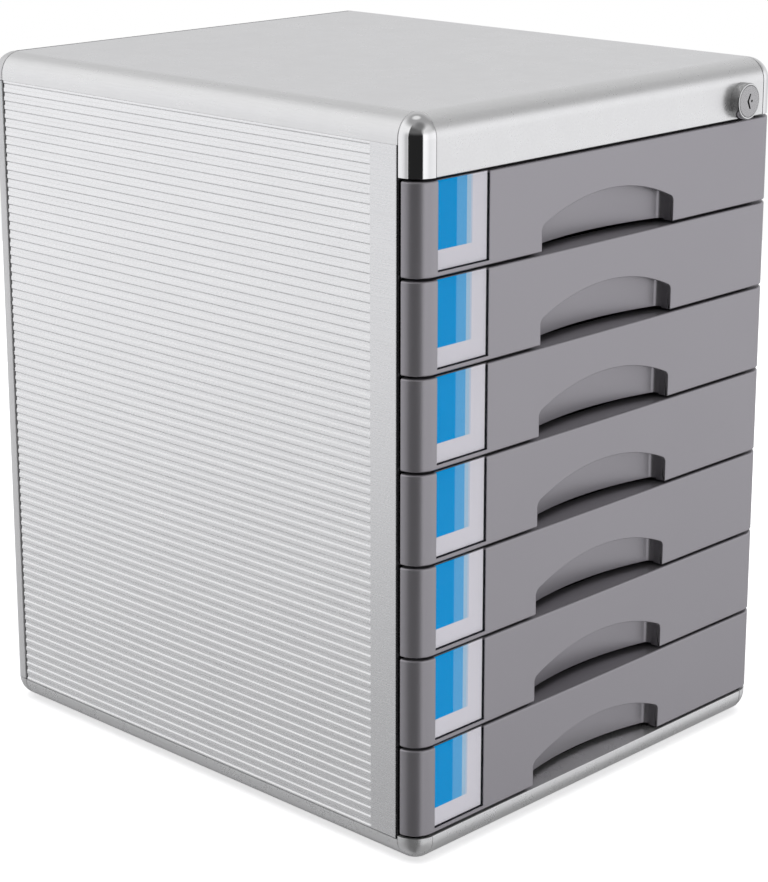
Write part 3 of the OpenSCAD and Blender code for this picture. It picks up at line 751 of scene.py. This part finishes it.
def arch_half():
    """(x, z) points of the arch's right half, from its foot to its crown."""
    half, side, top, rc = 56.5, 14.0, 26.6, 4.0
    a, b = half, top - side
    ra = (a * a + b * b) / (2 * b)
    zc = top - ra + math.sqrt((ra - rc) ** 2 - (half - rc) ** 2)
    ang = math.degrees(math.atan2(zc - (top - ra), half - rc))
    pts = [(half, -1.0)] + arc(half - rc, zc, rc, 0, ang, 10)
    pts += arc(0, top - ra, ra, ang, 90, 30)[1:]
    return pts


def pocket(g):
    half, end, deep, rc = 56.5, 9.0, 16.4, 4.5
    a, b = half, deep - end
    ra = (a * a + b * b) / (2 * b)
    dc = deep - ra + math.sqrt((ra - rc) ** 2 - (half - rc) ** 2)
    ang = math.degrees(math.atan2(dc - (deep - ra), half - rc))
    pts = arc(half - rc, dc, rc + g, 0, ang, 8)
    pts += arc(0, deep - ra, ra + g, ang, 90, 26)[1:]
    return pts + [(-x, d) for x, d in pts[::-1][1:]]


def front_mesh():
    h = HF
    s = Solid()
    edge = rounded([(ENDR, 0), (0, 0, 0.8), (0, h, 1.1), (ENDR, h)], 7)
    s.loft([[(x, d, z) for x, d in front_plan(g, ENDR)] for g, z in edge[1:-1]])
    body = temp(s, "front_work")
    # hollow behind the skin, open at the back
    r = ENDR - SKIN
    plan = [(-HW + SKIN, 20.0)] + arc(-HW + ENDR, ENDR, r, 180, 270, 16) + arc(HW - ENDR, ENDR, r, 270, 360, 16) + [(HW - SKIN, 20.0)]
    cut(body, temp(plan_solid(plan, SKIN, h - SKIN), "w"), "DIFFERENCE")
    cut(body, temp(block(-138, 138, ENDR - 1, 19.0, h - SKIN, h), "w"), "UNION")
    pk = pocket(2.0)
    pk = [(58.5, 2.1)] + pk + [(-58.5, 2.1)]
    cut(body, temp(plan_solid(pk, 0.0, 36.6), "w"), "UNION")
    for x in (-106, 94):
        cut(body, temp(block(x, x + 12, 2.1, 19.0, 14, 34), "w"), "UNION")
    pk = pocket(0.0)
    pk = [(56.5, SKIN)] + pk + [(-56.5, SKIN)]
    cut(body, temp(plan_solid(pk, -2.0, 34.6), "w"), "DIFFERENCE")
    cut(body, temp(block(-56.5, 56.5, -1, SKIN + 2, -1, SKIN + 0.2), "w"), "DIFFERENCE")
    cut(body, temp(block(-59.5, 59.5, 6.5, 30, -1, 0.8), "w"), "DIFFERENCE")
    ah = arch_half()
    outline = ah + [(-x, z) for x, z in ah[::-1][1:]]
    a = Solid()
    a.loft([[(x, d, z) for x, z in outline] for d in (-1.0, SKIN + 0.5)])
    cut(body, temp(a, "w"), "DIFFERENCE")
    cut(body, temp(block(LABX0, LABX1, -1, LABD, LIP, h + 1), "w"), "DIFFERENCE")
    me = body.data
    bm = bmesh.new()
    bm.from_mesh(me)
    bmesh.ops.remove_doubles(bm, verts=bm.verts, dist=2e-6)
    bmesh.ops.dissolve_limit(bm, angle_limit=rad(0.3), verts=bm.verts, edges=bm.edges, delimit={"NORMAL"})
    bm.to_mesh(me)
    bm.free()
    # round the edges: the arch most, the label recess least
    bm = bmesh.new()
    bm.from_mesh(me)
    wt = bm.edges.layers.float.new("bevel_weight_edge")
    for e in bm.edges:
        if not e.is_manifold or e.calc_face_angle(0) < rad(26):
            continue
        a, b = [(v.co.x * 1000, v.co.y * 1000 - YF, v.co.z * 1000) for v in e.verts]
        x, d, z = [(p + q) / 2 for p, q in zip(a, b)]
        if x < -96 and x > -139 and d < 2.0 and z < 48:
            e[wt] = 0.3
        elif abs(x) < 57 and z < 28 and max(a[1], b[1]) < 0.5:
            e[wt] = 1.0
        else:
            e[wt] = 0.5
    bm.to_mesh(me)
    bm.free()
    b = body.modifiers.new("edges", "BEVEL")
    b.width, b.segments, b.limit_method, b.use_clamp_overlap = 0.0004, 3, "WEIGHT", False
    me = bake_mods(body)
    bpy.data.objects.remove(body)
    return me


FRONT = front_mesh()
card = rounded([(LABX0 + 0.3, LIP + 0.65, 0.4), (LABX1 - 1.0, LIP + 0.65, 0.4), (LABX1 - 1.0, HF - 0.3, 0.4), (LABX0 + 0.3, HF - 0.3, 0.4)], 3)
CARD = extrude(card, LABD - 0.42, LABD - 0.04, xzd, 0.08, 1)
cover = [(0.3, LIP + 0.2, 0.25), (0.3, HF - 1.7, 0.2), (0.8, HF - 1.1, 0.2), (LABD - 0.56, HF - 1.1), (LABD - 0.56, LIP + 0.2)]
COVER = extrude(rounded(cover, 3), LABX0 + 0.2, LABX1 - 0.2, xdz, 0.2, 2)
for i in range(1, 8):
    up = BAYZ[i - 1]
    me = FRONT.copy()
    me.name = f"front_{i}"
    me.transform(Matrix.Translation((0, 0, up * 0.001)))
    piece(f"front_{i}", me, f"drawer_{i}", [M_FRONT], [f"drawer_{i}_front"], smooth=40)
    lift = lambda p, up=up: (p[0], p[1], p[2] + up)
    piece(f"card_{i}", place(CARD, lift).mesh(f"card_{i}"), f"drawer_{i}", [M_CARD], [f"drawer_{i}_label_card"], smooth=40, weighted=False)
    piece(f"window_{i}", place(COVER, lift).mesh(f"window_{i}"), f"drawer_{i}", [M_WINDOW], [f"drawer_{i}_label_cover"], smooth=40)


# ------------------------------------------------------------------ lock
def turned(profile, n=96):
    """Closed (radius, depth) outline turned about the lock's axis."""
    s = Solid()
    rings = [[(LX + r * math.cos(rad(a)), d, LZ + r * math.sin(rad(a))) for r, d in profile] for a in [360 * k / n for k in range(n)]]
    for k in range(n):
        s.strip(rings[k], rings[(k + 1) % n], True)
    return s


housing = rounded([(9.25, -PROUD + 0.1, 0.15), (10.0, -PROUD + 0.1, 0.3), (10.5, -PROUD + 0.6, 0.3), (10.5, -0.02, 0.1), (7.0, -0.02), (7.0, 20.0, 0.3), (5.05, 20.0), (5.05, -PROUD + 2.1), (9.25, -PROUD + 2.1)], 4)
piece("lock_bezel", turned(housing).mesh("lock_bezel"), "case", [M_LOCK], ["lock_housing"], smooth=38)
plug = rounded([(0.0, -PROUD), (9.1, -PROUD, 0.3), (9.1, -PROUD + 1.9), (5.0, -PROUD + 1.9), (5.0, 22.6, 0.3), (0.0, 22.6)], 4)
ps = Solid()
n_ = 96
rings = [[(LX + r * math.cos(rad(360 * k / n_)), d, LZ + r * math.sin(rad(360 * k / n_))) for r, d in plug] for k in range(n_)]
for k in range(n_):
    ps.strip(rings[k], rings[(k + 1) % n_], False)
wk = temp(ps, "plug_work")
KEY = [(1.6, 4.2), (0.2, 4.2), (-2.1, 0.1), (0.1, -4.4), (1.5, -4.4), (-0.5, 0.1)]
ks = Solid()
ks.loft([[(LX + x, d, LZ + z) for x, z in KEY] for d in (-PROUD - 1, -PROUD + 9)])
cut(wk, temp(ks, "w"), "DIFFERENCE")
dm = Solid()
dm.loft([[(LX + 2.3 + 0.8 * math.cos(rad(a * 15)), d, LZ + 0.8 * math.sin(rad(a * 15))) for a in range(24)] for d in (-PROUD - 0.5, -PROUD + 0.5)])
cut(wk, temp(dm, "w"), "DIFFERENCE")
bevel(wk, 0.12, 2, 40, clamp=True)
pm = bake_mods(wk)
bpy.data.objects.remove(wk)
piece("lock_face", pm, "lock_cylinder", [M_PLUG], ["lock_plug"], smooth=38)

# ------------------------------------------------------------------ stage
fl = bmesh.new()
bmesh.ops.create_circle(fl, cap_ends=True, segments=128, radius=1.45)
fm = bpy.data.meshes.new("floor")
fl.to_mesh(fm)
fl.free()
floor = bpy.data.objects.new("floor", fm)
bpy.context.scene.collection.objects.link(floor)
m, nt, bs = material("floor")
n = N(nt)
n.link(n.mix(n.remap(n.noise(3, 2), 0.3, 0.7, 0, 1), (0.66, 0.66, 0.665), (0.68, 0.68, 0.685)), bs.inputs["Base Color"])
bs.inputs["Roughness"].default_value = 0.7
bs.inputs["Specular IOR Level"].default_value = 0.2
bs.inputs["Emission Color"].default_value = (1.0, 1.0, 1.0, 1.0)
bs.inputs["Emission Strength"].default_value = 0.55
fm.materials.append(m)

world = bpy.data.worlds.new("studio")
bpy.context.scene.world = world
world.use_nodes = True
nt = world.node_tree
nt.nodes.clear()
n = N(nt)
co = n.node("ShaderNodeTexCoord").outputs["Generated"]
sep = n.node("ShaderNodeSeparateXYZ")
n.link(co, sep.inputs[0])
az = n.math("DIVIDE", n.math("ADD", n.math("ARCTAN2", sep.outputs["Y"], sep.outputs["X"]), math.pi), 2 * math.pi)


def at(deg):
    return ((deg + 180) % 360) / 360.0


def greys(f, stops):
    return n.ramp(f, [(p, (v, v, v * 1.01)) for p, v in sorted(stops)])


# brightness round the horizon: two soft lights with the dark studio between them
around = greys(az, [(at(176), 0.60), (at(180), 0.02), (at(246), 0.02), (at(250), 1.22), (at(264), 1.16), (at(280), 0.96), (at(300), 1.03), (at(330), 1.06), (0.5, 0.76), (at(60), 0.67), (at(90), 0.92), (at(115), 1.02), (at(145), 0.93), (at(158), 0.80), (at(170), 0.52)])
up = n.remap(sep.outputs["Z"], -1, 1, 0, 1)
fade_front = greys(up, [(0.0, 0.26), (0.17, 0.28), (0.25, 0.50), (0.36, 0.84), (0.46, 1.0), (0.55, 1.0), (1.0, 1.0)])
fade_side = greys(up, [(0.0, 0.36), (0.28, 0.36), (0.325, 0.52), (0.37, 1.0), (1.0, 1.0)])
on_side = greys(az, [(at(75), 0.0), (at(95), 1.0), (at(185), 1.0), (at(200), 0.0)])
fade = n.mix(on_side, fade_front, fade_side)
horizon = n.node("ShaderNodeMix", data_type="RGBA", blend_type="MULTIPLY")
horizon.inputs[0].default_value = 1.0
n.link(around, horizon.inputs[6])
n.link(fade, horizon.inputs[7])
# higher up: bright on the left, dim over the top
above = greys(az, [(at(30), 0.60), (at(50), 0.57), (at(70), 0.57), (at(85), 0.66), (at(98), 0.86), (at(112), 0.96), (at(172), 0.94), (at(188), 0.13), (at(240), 0.13), (at(256), 0.80), (at(280), 0.72), (at(300), 0.64), (at(315), 0.44), (at(330), 0.36), (at(345), 0.42), (0.5, 0.56)])
t1 = n.remap(sep.outputs["Z"], 0.15, 0.48, 0.0, 1.0, True)
t2 = n.remap(sep.outputs["Z"], 0.62, 0.92, 0.0, 1.0, True)
lightness = n.mix(t2, n.mix(t1, horizon.outputs[2], above), (0.37, 0.37, 0.375))


def blob(lit, azim, el, wide, soft, level):
    """A soft round patch of one brightness in the given direction."""
    d = n.node("ShaderNodeVectorMath", operation="DOT_PRODUCT")
    n.link(co, d.inputs[0])
    d.inputs[1].default_value = (math.cos(rad(el)) * math.cos(rad(azim)), math.cos(rad(el)) * math.sin(rad(azim)), math.sin(rad(el)))
    t = n.remap(d.outputs["Value"], math.cos(rad(wide + soft)), math.cos(rad(wide)), 0.0, 1.0, True)
    return n.mix(t, lit, (level, level, level * 1.01))


lightness = blob(lightness, 240.0, 55.0, 2.0, 26.0, 0.20)
lightness = blob(lightness, 60.0, 76.0, 3.0, 14.0, 0.85)
lp = n.node("ShaderNodeLightPath")
seen = n.mix(lp.outputs["Is Camera Ray"], lightness, (1.0, 1.0, 1.0))
bg = n.node("ShaderNodeBackground")
n.link(seen, bg.inputs["Color"])
bg.inputs["Strength"].default_value = 1.0
wo = n.node("ShaderNodeOutputWorld")
n.link(bg.outputs[0], wo.inputs[0])


def softbox(name, pos, aim, w, h, power):
    l = bpy.data.lights.new(name, "AREA")
    l.shape, l.size, l.size_y, l.energy = "RECTANGLE", w, h, power
    o = bpy.data.objects.new(name, l)
    o.location = pos
    o.rotation_euler = (Vector(aim) - Vector(pos)).to_track_quat("-Z", "Y").to_euler()
    bpy.context.scene.collection.objects.link(o)
    o.visible_camera = False
    return o


softbox("top", (-0.2, -0.1, 2.0), (0.0, 0.0, 0.0), 2.6, 2.6, 54.0).visible_glossy = False
floor.visible_glossy = False

# ------------------------------------------------------------------ camera
F_PX, PY = 2410.0, 350.0
cam = bpy.data.cameras.new("camera")
cam.sensor_width = 36.0
cam.lens = F_PX * 36.0 / 882.0
cam.shift_y = -(441.0 - PY) / 882.0
cam.clip_start, cam.clip_end = 0.05, 50.0
co = bpy.data.objects.new("camera", cam)
co.location = (-1.0096, (YF - 804.2) * 0.001, 0.5968)
yaw, pitch = rad(46.004), rad(14.699)
fwd = Vector((math.sin(yaw) * math.cos(pitch), math.cos(yaw) * math.cos(pitch), -math.sin(pitch)))
co.rotation_euler = fwd.to_track_quat("-Z", "Y").to_euler()
bpy.context.scene.collection.objects.link(co)
bpy.context.scene.camera = co
bpy.context.scene.view_settings.view_transform = "Standard"
